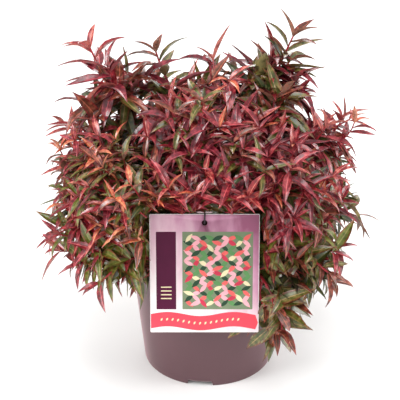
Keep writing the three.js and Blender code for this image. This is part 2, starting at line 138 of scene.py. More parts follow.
# What a mass has of its own in place of its ring's or the usual values
OWN = {
    "low_front": {"bare": 0.7, "length": 32, "denser": 6, "old_tint": "bronze", "old_youngest": 0.4},
    "low_left": {"length": 44},
    "low_front_left": {"length": 47, "outermost": 1.22, "shorter": 0.65},
    "low_front_right": {"length": 47, "palette": "under", "outermost": 1.35, "shorter": 0.7},
    "low_right": {"palette": "under"},
    "hanging_right": {"outermost": 2.2, "shorter": 0.6},
    "middle_front": {"length": 41, "palette": "heart"},
    "middle_front_right": {"palette": "crimson"},
    "middle_right": {"palette": "crimson", "outermost": 1.12, "shorter": 0.6},
    "middle_left": {"palette": "amber", "outermost": 1.15, "shorter": 0.6},
    "middle_front_left": {"length": 34, "palette": "amber"},
    "top_right": {"length": 55, "palette": "high", "outermost": 1.8, "shorter": 0.45},
    "top_left": {"palette": "crest", "outermost": 1.34, "shorter": 0.45},
    "top_middle": {"outermost": 1.2, "shorter": 0.5},
    "inner_front": {"length": 43, "palette": "heart"},
}

# The dome that the side shoots reach to
DOME = {
    "x": -6,
    "height": 212,
    "out": 160,
    "up": 112,
    "down": 80,
    "lean": 0.35,
    "highest": 0.985,
    "lowest": -0.45,
    "shoots": 76,
    "inner": 4,
    "within": 0.6,
}

# A leaf: its outline has its widest place at this share of its length, and its tip is long drawn out. Its
# spread and fold go from young to old. Its bend, sway and twist, in degrees, are left to chance.
LEAF = {
    "widest": 0.38,
    "drawn_out": 1.1,
    "stations": (0.05, 0.15, 0.3, 0.48, 0.66, 0.82, 0.94),
    "across": (-1.0, -0.68, -0.09, 0.09, 0.68, 1.0),
    "thick": 0.4,
    "camber": 0.07,
    "wave": 0.05,
    "waves": 2.2,
    "smallest": 0.62,
    "spread": (34, 74),
    "spread_chance": 18,
    "bend": (4, 56),
    "sway": 20,
    "twist": 28,
    "fold": (0.55, 0.28),
    "least": 4,
    "cluster": 3,
    "tries": 7,
}

# Each kind of leaf: its slot, and the colours of its blade, margin, rib and back. The rib colour is a pale
# midrib made paler still as a painted highlight, and every part of the leaf has paler patches towards it,
# which are painted highlights too.
LEAF_KINDS = {
    "young": ("top_leaves", (194, 92, 62), (190, 60, 50), (240, 176, 126), (214, 138, 110)),
    "coral": ("top_leaves", (150, 40, 45), (152, 26, 38), (238, 146, 126), (196, 114, 106)),
    "red": ("top_leaves", (120, 18, 33), (122, 14, 32), (214, 90, 94), (168, 82, 82)),
    "wine": ("middle_leaves", (104, 20, 36), (106, 16, 34), (184, 74, 84), (146, 84, 86)),
    "bronze": ("middle_leaves", (102, 54, 36), (120, 32, 34), (196, 108, 84), (150, 112, 94)),
    "olive": ("low_leaves", (84, 88, 30), (110, 60, 30), (162, 136, 84), (136, 130, 82)),
    "green": ("low_leaves", (46, 64, 20), (70, 50, 24), (108, 100, 50), (94, 102, 58)),
    "moss": ("low_leaves", (96, 106, 32), (126, 70, 36), (150, 146, 76), (136, 136, 88)),
    # The shade kind: a near-black green, partly the dark green of old leaves deep in the crown and partly
    # painted shade there
    "shade": ("low_leaves", (28, 36, 14), (40, 26, 18), (58, 56, 26), (54, 52, 32)),
}
LEAF_ROUGHNESS = {"blade": 0.34, "margin": 0.36, "rib": 0.42, "back": 0.55}

# The kinds of leaf on a spray of each tint, from the oldest to the youngest
TINTS = {
    "amber": ("green", "olive", "olive", "bronze", "olive", "bronze", "young"),
    "coral": ("green", "green", "olive", "bronze", "red", "red", "coral"),
    "red": ("green", "olive", "wine", "wine", "red", "red", "coral"),
    "wine": ("olive", "bronze", "bronze", "wine", "wine", "wine", "red"),
    "bronze": ("green", "olive", "bronze", "bronze", "bronze", "wine", "coral"),
    "olive": ("green", "green", "olive", "olive", "olive", "olive", "bronze"),
    "moss": ("green", "moss", "moss", "moss", "moss", "moss", "red"),
    "shade": ("shade", "shade", "shade", "shade", "green", "green", "green"),
}

# Which leaves are young: the tints of their sprays, their greatest age, how many of them are, and how deep in
# the dome, from 0 at its middle to 1 on its surface
YOUNG = {"tints": ("amber", "coral", "red"), "age": 0.1, "share": 0.45, "depth": 0.75}

# How depth darkens leaves: under one depth all are of the shade kind or dark green, partly as old inner
# leaves and partly as painted shade, and from there on older or younger than their age. Leaves close above
# the tag's clear space count as near the surface, so they keep clear of that painted shade.
DEPTH = {"dark": 0.62, "shaded": 0.7, "above_tag": 0.86, "even": 0.89, "outermost": 0.94, "aging": 9}
KIND_CHANCE = 1.2  # how many kinds up or down chance may take a leaf, in all

# The share of sprays of each tint in a palette. A mass has its ring's palette unless it has one of its own.
PALETTES = {
    "high": {"olive": 0.6, "bronze": 0.1, "wine": 0.3},
    "top": {"olive": 0.45, "wine": 0.3, "bronze": 0.15, "red": 0.1},
    "heart": {"red": 0.4, "wine": 0.24, "coral": 0.13, "olive": 0.16, "bronze": 0.07},
    "middle": {"red": 0.32, "wine": 0.2, "coral": 0.2, "olive": 0.2, "bronze": 0.08},
    "amber": {"amber": 0.3, "bronze": 0.1, "olive": 0.25, "moss": 0.2, "coral": 0.15},
    "low": {"moss": 0.4, "olive": 0.2, "amber": 0.22, "coral": 0.18},
    "hanging": {"amber": 0.5, "olive": 0.5},
    "crest": {"olive": 0.25, "wine": 0.25, "bronze": 0.3, "coral": 0.2},
    "crimson": {"red": 0.4, "wine": 0.35, "coral": 0.13, "bronze": 0.12},
    # The under palette's shade sprays are partly old dark leaves and partly painted shade low in the crown's
    # front right
    "under": {"moss": 0.28, "olive": 0.25, "shade": 0.3, "wine": 0.11, "coral": 0.06},
}

# The tag and its strap, and the clear space in front of the tag and behind its face
TAG = {"width": 121, "length": 136.5, "thick": 0.8, "lean": 12.8, "x": -5, "top": 226.5, "down": 10}
HOLE = {"radius": 3.2, "sides": 32}
STRAP = {"radius": 0.9, "room": 1, "slack": 2, "sides": 10, "tension": 0.3, "steps": 12}
BAR = {"length": 17, "radius": 1.3, "sides": 12}
VIEW = {"rise": 26, "depth": 150, "behind": 1.5, "margin": 0.5}
ABOVE_TAG = {"room": 30, "behind": 28, "below": 8}  # leaves this near to the clear space show from outside

# The print of plain shapes, in sizes on the card: a wash, a panel of pointed ovals, a band and a ribbon
PRINT = {
    "edge": 0.6,
    "sunk": 0.2,
    "proud": 0.03,
    "level": 0.015,
    "panel": {"left": 36, "right": 7, "low": 27, "top": 20, "columns": 9, "rows": 14},
    "band": {"left": 7, "width": 22, "low": 27, "top": 20},
    "bars": {"count": 4, "width": 12, "height": 1.3, "spacing": 4.4, "low": 12},
    "ribbon": {"middle": 13, "width": 17, "swing": 2.4, "wave": 74, "tip": 3},
    "dots": {"count": 15, "width": 2, "left": 12, "right": 22, "lean": 60},
    "oval": {"length": 14.5, "width": 5.2, "lean": 36, "sway": 34},
}
OVAL_COLORS = ("coral", "leaf", "pink", "deep", "rose", "pink", "cream", "coral", "pink", "leaf", "deep")
INKS = {
    "panel": (124, 140, 110),
    "band": (84, 16, 54),
    "ribbon": (240, 78, 94),
    "coral": (240, 108, 104),
    "rose": (206, 60, 84),
    "pink": (250, 180, 190),
    "leaf": (98, 148, 92),
    "deep": (44, 74, 54),
    "cream": (240, 226, 184),
}

# The floor, the lamps with their places and sizes in metres and power in watts, and the camera
FLOOR = {"half": 9000, "height": -0.2}
LAMPS = {
    "key": ((-2.0, -0.9, 1.4), 1.0, 36),
    "fill": ((2.1, -0.5, 1.2), 1.2, 28),
    "top": ((0.0, -0.6, 2.5), 1.4, 24),
    "back": ((0.3, 2.2, 1.5), 1.4, 26),
    "front": ((-0.3, -2.4, 1.5), 0.7, 11),
}
LIT = (0, 0, 0.22)  # what the lamps point at
SKY = 0.64
CAMERA = {"target": (-10, 0, 206), "distance": 1300, "pitch": 26, "lens": 100.5, "sensor": 36, "near": 0.05}


def mix(a, b, share):
    return a + (b - a) * share


def unit(vector):
    return vector / np.linalg.norm(vector)


def polar(turn, out, height):
    return np.array((out * cos(radians(turn)), out * sin(radians(turn)), height))


def numbers(seed):
    """Seeded numbers from 0 to 1, the same rule as in the part's source."""
    state = seed & 0xFFFFFFFF

    def draw():
        nonlocal state
        state = (state * 1664525 + 1013904223) & 0xFFFFFFFF
        return state / 4294967296

    return draw


def linear(red, green, blue):
    """The linear colour that a shader takes for a colour on a screen, 0 to 255."""
    shares = [value / 255 for value in (red, green, blue)]
    return tuple(s / 12.92 if s <= 0.04045 else ((s + 0.055) / 1.055) ** 2.4 for s in shares) + (1.0,)


class Curve:
    """A cubic curve from its foot to its tip."""

    def __init__(self, foot, leaving, ending, tip):
        self.nodes = (foot, foot + leaving, tip - ending, tip)

    def point(self, at):
        a, b, c, d = self.nodes
        rest = 1 - at
        return a * rest**3 + 3 * b * rest**2 * at + 3 * c * rest * at**2 + d * at**3

    def along(self, at):
        a, b, c, d = self.nodes
        rest = 1 - at
        return unit((b - a) * rest**2 + 2 * (c - b) * rest * at + (d - c) * at**2)

    def points(self, start, end, steps):
        return np.array([self.point(mix(start, end, i / steps)) for i in range(steps + 1)])

    def length(self, start, end):
        path = self.points(start, end, 12)
        return np.linalg.norm(np.diff(path, axis=0), axis=1).sum()

    def onward(self, way):
        """The place on the line, run on past its tip, that lies this way beyond the tip at most."""
        return 1 + min(way / (3 * np.linalg.norm(self.nodes[3] - self.nodes[2])), 0.16)


class Space:
    """The space of a mass: the points that are nearer to its middle than to any other's."""

    def __init__(self, middle):
        self.middle = middle
        self.walls = []

    def divide_from(self, other):
        away = unit(other.middle - self.middle)
        self.walls.append((away, (self.middle + other.middle) @ away / 2 - GAP))

    def has(self, point, margin=0.0):
        return all(point @ away < limit - margin for away, limit in self.walls)


# Mesh making


class Pile:
    """Points and faces that are collected to become one piece."""

    def __init__(self):
        self.points = []
        self.faces = []
        self.slots = []
        self.count = 0

    def add(self, points, faces, slot=0):
        self.points.append(np.asarray(points, float))
        self.faces.extend([[i + self.count for i in face] for face in faces])
        self.slots.extend([slot] * len(faces))
        self.count += len(points)

    def piece(self, name, materials, sharp=50):
        return make_piece(name, np.concatenate(self.points), self.faces, materials, self.slots, sharp)


def make_piece(name, points, faces, materials, slots=None, sharp=50):
    """A mesh object from points in millimetres, smooth but for edges sharper than an angle in degrees."""
    mesh = bpy.data.meshes.new(name)
    mesh.from_pydata((np.asarray(points, float) * MM).tolist(), [], faces)
    for material in materials:
        mesh.materials.append(material)
    if slots is not None:
        mesh.polygons.foreach_set("material_index", np.asarray(slots, np.int32))
    mesh.polygons.foreach_set("use_smooth", np.ones(len(mesh.polygons), bool))
    mesh.set_sharp_from_angle(angle=radians(sharp))
    mesh.update()
    piece = bpy.data.objects.new(name, mesh)
    bpy.context.collection.objects.link(piece)
    return piece


def finish_piece(piece, slot, *nodes):
    """The piece rides on the part's one body and stands for these nodes; the slot is not used."""
    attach(piece, "root")
    if nodes:
        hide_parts(*nodes)


def ring_faces(rings, sides, closed=True):
    """Quads between rings of points that follow each other, and caps on a closed tube's two ends."""
    faces = []
    for ring in range(rings - 1):
        for side in range(sides):
            after = (side + 1) % sides
            low, high = ring * sides, (ring + 1) * sides
            faces.append((low + side, low + after, high + after, high + side))
    if closed:
        faces.append(tuple(range(sides - 1, -1, -1)))
        faces.append(tuple(range((rings - 1) * sides, rings * sides)))
    return faces


def square_to(axis):
    """A direction square to an axis: level, unless the axis is nearly upright."""
    return np.cross(axis, UP if abs(unit(axis)[2]) < 0.9 else (1.0, 0.0, 0.0))


def tube(path, radii, sides, relief=None):
    """A closed tube along a path. Its relief is a share of its radius at a turn and a ring."""
    path = np.asarray(path, float)
    tangents = np.gradient(path, axis=0)
    side = square_to(tangents[0])
    points = []
    for ring, (middle, tangent) in enumerate(zip(path, tangents)):
        tangent = unit(tangent)
        side = unit(side - tangent * (side @ tangent))
        over = np.cross(tangent, side)
        for i in range(sides):
            turn = 2 * pi * i / sides
            radius = radii[ring] * (relief(turn, ring) if relief else 1)
            points.append(middle + (side * cos(turn) + over * sin(turn)) * radius)
    return np.array(points), ring_faces(len(path), sides)


def lathe(profile, sides, lift=None):
    """A closed turned solid, raised by its lift. The profile starts and ends on the axis."""
    (_, low), *rings, (_, high) = profile
    turns = [2 * pi * i / sides for i in range(sides)]
    walls = [(r * cos(turn), r * sin(turn), z) for r, z in rings for turn in turns]
    points = [(0, 0, low), *walls, (0, 0, high)]
    if lift:
        points = [(x, y, z + lift(x, y, z)) for x, y, z in points]
    faces = [tuple(i + 1 for i in face) for face in ring_faces(len(rings), sides, closed=False)]
    last = len(points) - 1
    top = last - sides
    for i in range(sides):
        after = (i + 1) % sides
        faces += [(0, 1 + after, 1 + i), (last, top + i, top + after)]
    return points, faces


def cut(piece, cutters):
    """Cuts other pieces out of a piece, and removes them."""
    for cutter in cutters:
        modifier = piece.modifiers.new("cut", "BOOLEAN")
        modifier.operation = "DIFFERENCE"
        modifier.solver = "EXACT"
        modifier.object = cutter
        with bpy.context.temp_override(object=piece):
            bpy.ops.object.modifier_apply(modifier=modifier.name)
        bpy.data.objects.remove(cutter)


# Materials


def shader_of(material):
    return material.node_tree.nodes["Principled BSDF"]


def set_inputs(node, values):
    """Steady values for a node's own inputs, named with _ for each space."""
    for name, value in values.items():
        node.inputs[name.replace("_", " ")].default_value = value


def new_material(name, color, roughness, **inputs):
    """A material whose steady values are set on its shader's own sockets."""
    material = bpy.data.materials.new(name)
    material.use_nodes = True
    set_inputs(shader_of(material), {"Base_Color": color, "Roughness": roughness, **inputs})
    return material


def new_node(material, kind, **inputs):
    node = material.node_tree.nodes.new(f"ShaderNode{kind}")
    set_inputs(node, inputs)
    return node


def join(material, output, socket):
    material.node_tree.links.new(output, socket)


def add_noise(material, scale, detail, stretch=(1, 1, 1)):
    """A noise pattern over the piece's own coordinates, in features per metre."""
    place = new_node(material, "TexCoord")
    mapping = new_node(material, "Mapping", Scale=stretch)
    pattern = new_node(material, "TexNoise", Scale=scale, Detail=detail)
    join(material, place.outputs["Object"], mapping.inputs["Vector"])
    join(material, mapping.outputs["Vector"], pattern.inputs["Vector"])
    return pattern.outputs["Fac"]


def color_by(material, pattern, stops):
    """The base colour follows a pattern through the colours at its stops."""
    ramp = new_node(material, "ValToRGB")
    elements = ramp.color_ramp.elements
    elements.remove(elements[0])
    (elements[0].position, elements[0].color), *others = stops.items()
    for position, color in others:
        elements.new(position).color = color
    join(material, pattern, ramp.inputs["Fac"])
    join(material, ramp.outputs["Color"], shader_of(material).inputs["Base Color"])


def roughness_by(material, pattern, low, high):
    span = new_node(material, "MapRange", To_Min=low, To_Max=high)
    join(material, pattern, span.inputs["Value"])
    join(material, span.outputs["Result"], shader_of(material).inputs["Roughness"])


def bump_by(material, pattern, distance, strength):
    """The surface stands proud by a distance in millimetres where the pattern is high."""
    bump = new_node(material, "Bump", Strength=strength, Distance=distance * MM)
    join(material, pattern, bump.inputs["Height"])
    join(material, bump.outputs["Normal"], shader_of(material).inputs["Normal"])


def shade(color, share):
    """A linear colour, darker or lighter by a share."""
    return tuple(min(value * share, 1.0) for value in color[:3]) + (1.0,)


def blend(color, other, share):
    """A linear colour, part of the way to another."""
    return tuple(mix(a, b, share) for a, b in zip(color, other))


def patterned(name, color, roughness, grain, tones, relief=None, fine=None, **inputs):
    """A colour that follows a grain through tones, each a share of it or another colour, and a relief."""
    base = linear(*color)
    material = new_material(name, base, roughness, **inputs)
    pattern = add_noise(material, *grain)
    stops = {at: tone if isinstance(tone, tuple) else shade(base, tone) for at, tone in tones.items()}
    color_by(material, pattern, stops)
    if relief:
        bump_by(material, add_noise(material, *fine) if fine else pattern, *relief)
    return material


def pot_material():
    sheen = {"Sheen_Weight": 0.9, "Sheen_Roughness": 0.3, "Sheen_Tint": linear(255, 214, 220)}
    tones, relief, fine = {0.3: 0.93, 0.7: 1.07}, (0.05, 0.3), (1400, 2)
    material = patterned("pot_plastic", (89, 58, 64), 0.4, (14, 5), tones, relief, fine, **sheen)
    roughness_by(material, add_noise(material, 14, 5), 0.34, 0.46)
    return material


def soil_material():
    return patterned("compost", (58, 43, 33), 0.95, (260, 8), {0.3: 0.5, 0.6: 1, 0.75: 2}, (1.2, 0.8))


def bark_material():
    grain, tones = (300, 6, (1, 1, 0.25)), {0.3: 0.5, 0.55: 1, 0.75: 1.5}
    return patterned("bark", (118, 72, 56), 0.75, grain, tones, (0.5, 0.7))


def twig_material():
    tones = {0.35: linear(112, 40, 38), 0.5: 1, 0.7: linear(184, 52, 62)}
    relief, fine = (0.1, 0.4), (900, 3)
    gloss = {"Specular_IOR_Level": 0.5}
    return patterned("young_stem", (158, 30, 44), 0.42, (90, 4), tones, relief, fine, **gloss)


def leaf_material(name, color, rib_and_highlight, roughness):
    """A semi-gloss leaf colour, in patches darker or paler towards its rib colour, with a fine relief. The
    paler patches are painted highlights.
    """
    gloss = {"Specular_IOR_Level": 0.5, "Coat_Weight": 0.5, "Coat_Roughness": 0.18}
    tones = {0.34: 0.5, 0.5: 1, 0.7: blend(linear(*color), linear(*rib_and_highlight), 0.62)}
    return patterned(name, color, roughness, (190, 4), tones, (0.25, 0.35), (520, 3), **gloss)


def strap_material(name, color):
    material = new_material(f"{name}_plastic", linear(*color), 0.5)
    bump_by(material, add_noise(material, 700, 2), 0.1, 0.4)
    return material


def print_material(name, color, roughness=0.35):
    tones = {0.3: 0.92, 0.7: 1.06}
    return patterned(name, color, roughness, (70, 4), tones, Specular_IOR_Level=0.2)


def share_along(material, axis, low, high):
    """How far a point of the piece lies from one coordinate to another on an axis, from 0 to 1."""
    place = new_node(material, "TexCoord")
    split = new_node(material, "SeparateXYZ")
    span = new_node(material, "MapRange", From_Min=low * MM, From_Max=high * MM)
    join(material, place.outputs["Object"], split.inputs["Vector"])
    join(material, split.outputs[axis], span.inputs["Value"])
    return span.outputs["Result"]


def add_weighted(material, *terms):
    """The first term times the second, plus the third. Each is a number or a pattern."""
    total = new_node(material, "Math")
    total.operation = "MULTIPLY_ADD"
    for term, socket in zip(terms, total.inputs):
        if isinstance(term, float):
            socket.default_value = term
        else:
            join(material, term, socket)
    return total.outputs["Value"]


def wash_material():
    """A brushed wash over the card, mauve in its upper right corner and paler to the lower left."""
    material = new_material("print_wash", linear(214, 160, 182), 0.35)
    half = TAG["width"] / 2
    across = share_along(material, "X", TAG["x"] - half, TAG["x"] + half)
    upward = share_along(material, "Z", TAG["top"] - TAG["length"], TAG["top"])
    streak = add_noise(material, 38, 7, (1.6, 1, 0.5))
    total = -0.22
    for pattern, weight in ((across, 0.4), (upward, 0.55), (streak, 0.55)):
        total = add_weighted(material, pattern, weight, total)
    stops = {
        0.3: linear(246, 236, 236),
        0.52: linear(236, 204, 214),
        0.72: linear(206, 148, 176),
        0.92: linear(156, 84, 118),
    }
    color_by(material, total, stops)
    return material


# The skeleton: the same rule as in the part's source


def limb_curve(tip_place, leaves_at, start, slopes):
    """The line of one bough and its leading shoot, from inside the stem to the shoot's tip."""
    foot = polar(leaves_at, start[0], SOIL["top"] + start[1])
    tip = polar(*tip_place)
    reach = np.linalg.norm(tip - foot)
    leaving = unit(polar(leaves_at, 1, slopes[0]))
    ending = unit(polar(tip_place[0], 1, slopes[1]))
    return Curve(foot, 0.38 * reach * leaving, 0.36 * reach * ending, tip)


def dome_tip(index):
    """The tip of a numbered side shoot, on the dome or inside it."""
    draw = numbers(977 * index + 31)
    level = mix(DOME["highest"], DOME["lowest"], (index + 0.5) / DOME["shoots"])
    turn = index * GOLDEN + 14 * (draw() - 0.5)
    size = DOME["within"] if index % DOME["inner"] == 0 else mix(0.86, 1.04, draw())
    out = (1 - level * level) ** (0.5 if level > 0 else 0.35) * DOME["out"] * size
    height = DOME["height"] + level * (DOME["up"] if level > 0 else DOME["down"]) * size
    x, y, z = polar(turn, out, height)
    return np.array((x + DOME["x"], y, z - DOME["lean"] * y))


def shoot_curve(parent, at, tip):
    """The line of a side shoot from its parent's. The higher its tip, the more upright it ends."""
    foot = parent.point(at)
    reach = np.linalg.norm(tip - foot)
    outward = unit(tip * (1, 1, 0))
    leaving = unit(parent.along(at) * 0.7 + unit(tip - foot))
    slope = mix(-0.5, 2.3, (tip[2] - 130) / 230)
    ending = unit(outward + UP * slope)
    return Curve(foot, 0.25 * reach * leaving, 0.3 * reach * ending, tip)


def in_pot(points, room=1.0):
    """Which points lie in the pot or within a little room round it."""
    radius = mix(POT["foot"], POT["rim"], points[:, 2] / POT["height"]) + room
    return (points[:, 2] < POT["height"] + room) & (np.hypot(points[:, 0], points[:, 1]) < radius)


tag_foot = np.array((TAG["x"], -POT["rim"] - 1.5 * GAP, POT["height"] - 1))
tag_across = np.array((1.0, 0.0, 0.0))
tag_up = np.array((0.0, sin(radians(TAG["lean"])), cos(radians(TAG["lean"]))))
tag_out = np.cross(tag_across, tag_up)
tag_top = (TAG["top"] - POT["height"] + 1) / cos(radians(TAG["lean"]))
sight_rise = tan(radians(VIEW["rise"] - TAG["lean"]))


def on_tag(x, y, out):
    """A point of the tag's own frame: x across it, y up its face, and out of its front."""
    return tag_foot + tag_across * x + tag_up * y + tag_out * out


def sight_of(points):
    """How far points lie across the tag, up it as they are seen before it, and out of its front."""
    inside = points - tag_foot
    out = inside @ tag_out
    return inside @ tag_across, inside @ tag_up - np.maximum(out, 0) * sight_rise, out


def hides_tag(points):
    """Which points lie in the clear space that the tag is seen through, or in the tag."""
    x, y, out = sight_of(points)
    margin = VIEW["margin"]
    beside = abs(x) < TAG["width"] / 2 + margin
    level = (y > tag_top - TAG["length"] - margin) & (y < tag_top + margin)
    return (out > -VIEW["behind"]) & (out < VIEW["depth"]) & beside & level


def is_free(points):
    return not (in_pot(points) | hides_tag(points)).any()


def new_mass(name):
    """A mass: its values, with the line of its limb, its space and the tips of its side shoots."""
    ring, seed, leaves_at, tip, *more = MASSES[name]
    mass = {**USUAL, "palette": ring, **dict(zip(RING_VALUES, RINGS[ring])), **OWN.get(name, {})}
    curve = limb_curve(tip, leaves_at, mass["start"], mass["slopes"])
    space = Space(curve.point(BOUGH["middle"]))
    tips = [polar(*place) for place in more]
    return {**mass, "name": name, "seed": seed, "curve": curve, "space": space, "tips": tips}


def find_entry(mass):
    """Where a limb enters the space of its mass: the bough ends and the leading shoot starts there."""
    at = 1.0
    while at > mass["bare"] and mass["space"].has(mass["curve"].point(at), BOUGH["room"]):
        at -= 0.01
    return at


def make_masses():
    """All masses. Each tip on the dome goes to the mass that it is nearest to."""
    masses = [new_mass(name) for name in MASSES]
    for mass in masses:
        for other in masses:
            if other is not mass:
                mass["space"].divide_from(other["space"])
        mass["enter"] = find_entry(mass)
    for index in range(DOME["shoots"]):
        tip = dome_tip(index)
        nearest = min(masses, key=lambda mass: np.linalg.norm(mass["space"].middle - tip))
        nearest["tips"].append(tip)
    return masses


def depth_of(point):
    """How far out a point lies in the dome: 0 at its middle and 1 on its surface."""
    x, y, z = point
    up = z + DOME["lean"] * y - DOME["height"]
    high = DOME["up" if up > 0 else "down"]
    return np.linalg.norm(((x - DOME["x"]) / DOME["out"], y / DOME["out"], up / high))


def new_twig(curve, start, onward, sizes):
    """One twig along a curve, carried on past the curve's tip where that way is free."""
    end = curve.onward(onward)
    if not is_free(curve.points(1, end, 3)):
        end = 1.0
    return {"curve": curve, "start": start, "end": end, "youngest": 0.0, **sizes}


def grow_shoots(mass, order):
    """The leading shoot of a mass and its side shoots, as in the part's source."""
    draw = numbers(613 * order + 7 + 101 * mass["seed"])
    curve, enter = mass["curve"], mass["enter"]
    shoots = [new_twig(curve, enter, ONWARD, LEADER)]
    for tip in mass["tips"]:
        first = draw()
        for attempt in range(SHOOT["tries"]):
            share = (first + SHOOT["step"] * attempt) % 1
            at = mix(enter + SHOOT["lowest"], SHOOT["highest"], share)
            line = shoot_curve(curve, at, mix(tip, curve.point(at), 0.06 * attempt))
            path = line.points(0, 1, 8)
            if all(mass["space"].has(point) for point in path) and is_free(path):
                shoots.append(new_twig(line, 0.0, ONWARD, SHOOT))
                break
    return shoots


def twig_fits(mass, line, tip):
    near = depth_of(tip) < mass["outermost"] and mass["space"].has(tip, -TWIG_REACH["past"])
    return near and is_free(line.points(0, 1, 5))


def grow_twigs(mass, shoot, draw):
    """The finer twigs of a shoot: they turn round it, and end within its own reach."""
    curve, start = shoot["curve"], shoot["start"]
    spacing = TWIG["spacing"] / mass["denser"]
    count = max(2, round(curve.length(start, 1) / spacing))
    turn = 360 * draw()
    twigs = []
    for i in range(count):
        turn += GOLDEN
        share = mix(TWIG["lowest"], mass["last_twig"], (i + 0.5 * draw()) / count)
        at = mix(start, 1, share)
        reach = mix(TWIG_REACH["lowest"], TWIG_REACH["highest"], share) * mix(*TWIG_REACH["chance"], draw())
        reach *= mass["shorter"]
        for attempt in range(TWIG["tries"]):
            axis = curve.along(at)
            side = side_of(axis, turn + 72 * attempt)
            direction = unit(axis * 0.75 + side * 0.65 + UP * 0.2)
            tip = curve.point(at) + direction * reach * (1 - 0.08 * attempt)
            line = shoot_curve(curve, at, tip)
            if twig_fits(mass, line, tip):
                twigs.append(new_twig(line, 0.0, 0, TWIG))
                break
    return twigs


def side_of(axis, turn):
    """The direction square to an axis at a turn round it, in degrees."""
    across = unit(square_to(axis))
    return across * cos(radians(turn)) + np.cross(axis, across) * sin(radians(turn))


# Leaves


def deal_tint(palette, share):
    for tint, part in PALETTES[palette].items():
        share -= part
        if share < 0:
            return tint
    return tint


def leaf_frames(leaf, shares):
    """The middle line of a leaf at shares of its length, and its side and upward directions there."""
    along, over = leaf["along"], leaf["over"]
    side = np.cross(along, over)
    fine = np.linspace(0, 1, 25)[:, None]
    bend = leaf["bend"] * fine**1.3
    sway = leaf["sway"] * fine**1.5
    direction = along * np.cos(bend) - over * np.sin(bend) + side * np.sin(sway)
    steps = (direction[1:] + direction[:-1]) / 2 * leaf["length"] / 24
    line = leaf["root"] + np.concatenate((np.zeros((1, 3)), np.cumsum(steps, axis=0)))
    shares = np.asarray(shares)
    middle = np.array([np.interp(shares, fine[:, 0], line[:, axis]) for axis in range(3)]).T
    bend = leaf["bend"] * shares[:, None] ** 1.3
    twist = leaf["twist"] * shares[:, None]
    upward = over * np.cos(bend) + along * np.sin(bend)
    across = side * np.cos(twist) + upward * np.sin(twist)
    return middle, across, upward * np.cos(twist) - side * np.sin(twist)


def leaf_points(leaf):
    """The points of a leaf: its root, rings of six points above and one below, and its tip."""
    stations = np.array(LEAF["stations"])
    middle, side, over = leaf_frames(leaf, (0.0, *stations, 1.0))
    power = log(0.5) / log(LEAF["widest"])
    half = leaf["width"] / 2 * np.sin(pi * stations**power) ** LEAF["drawn_out"]
    wave = LEAF["wave"] * np.sin(2 * pi * LEAF["waves"] * stations + leaf["phase"])
    rings = []
    for u in LEAF["across"]:
        camber = LEAF["camber"] * (1 - abs(u)) * (abs(u) > 0.2)
        lift = half * (leaf["fold"] * abs(u) + camber + wave * u * u)
        rings.append(middle[1:-1] + side[1:-1] * (u * half)[:, None] + over[1:-1] * lift[:, None])
    rings.append(middle[1:-1] - over[1:-1] * LEAF["thick"])
    body = np.stack(rings, axis=1).reshape(-1, 3)
    return np.concatenate((middle[:1], body, middle[-1:]))


def leaf_faces():
    """The faces of a leaf, and the material of each: blade, margin, rib or back."""
    count = len(LEAF["stations"])
    wide = len(LEAF["across"]) + 1
    last = 1 + count * wide
    slots_across = (1, 0, 2, 0, 1, 3, 3)
    faces, slots = [], []
    for i in range(wide):
        after = (i + 1) % wide
        faces.append((0, 1 + after, 1 + i))
        slots.append(slots_across[i])
        for k in range(count - 1):
            low, high = 1 + k * wide, 1 + (k + 1) * wide
            faces.append((low + i, low + after, high + after, high + i))
            slots.append(1 if k == count - 2 and slots_across[i] == 0 else slots_across[i])
        top = 1 + (count - 1) * wide
        faces.append((top + i, top + after, last))
        slots.append(3 if i > 4 else 1)
    return faces, slots


def leaf_is_free(leaf):
    """Whether the middle line and both edges of a leaf keep clear of the pot and the tag."""
    middle, side, _ = leaf_frames(leaf, (0.2, 0.4, 0.6, 0.8, 1.0))
    half = leaf["width"] / 2
    return is_free(np.concatenate((middle, middle[:-1] + half * side[:-1], middle[:-1] - half * side[:-1])))


def grow_leaves(twig, mass, tint, draw):
    """The leaves of one twig, from the oldest at its foot to the youngest at its tip."""
    curve, first = twig["curve"], mix(twig["start"], twig["end"], twig["first"])
    last = mix(first, twig["end"], 0.99)
    count = max(LEAF["least"], round(curve.length(first, last) / mass["spacing"])) + LEAF["cluster"]
    turn = 360 * draw()
    leaves = []
    for i in range(count):
        age = mix(1, twig["youngest"], i / (count - 1))
        turn += GOLDEN
        at = mix(first, last, min(1.0, i / (count - LEAF["cluster"])))
        length = mass["length"] * mix(LEAF["smallest"], 1, min(1.0, age * 3)) * mix(0.82, 1.12, draw())
        spread = mix(*LEAF["spread"], min(1.0, age * 2.2)) + LEAF["spread_chance"] * (draw() - 0.5)
        chances = [draw() for _ in range(5)]
        for attempt in range(LEAF["tries"]):
            size = (length * (1 - 0.09 * attempt), mass["width"])
            leaf = new_leaf(curve, at, turn + 60 * attempt, spread, size, age, chances)
            if leaf_is_free(leaf):
                leaf["kind"] = kind_of(leaf["root"], tint, age, chances[0])
                leaves.append(leaf)
                break
    return leaves


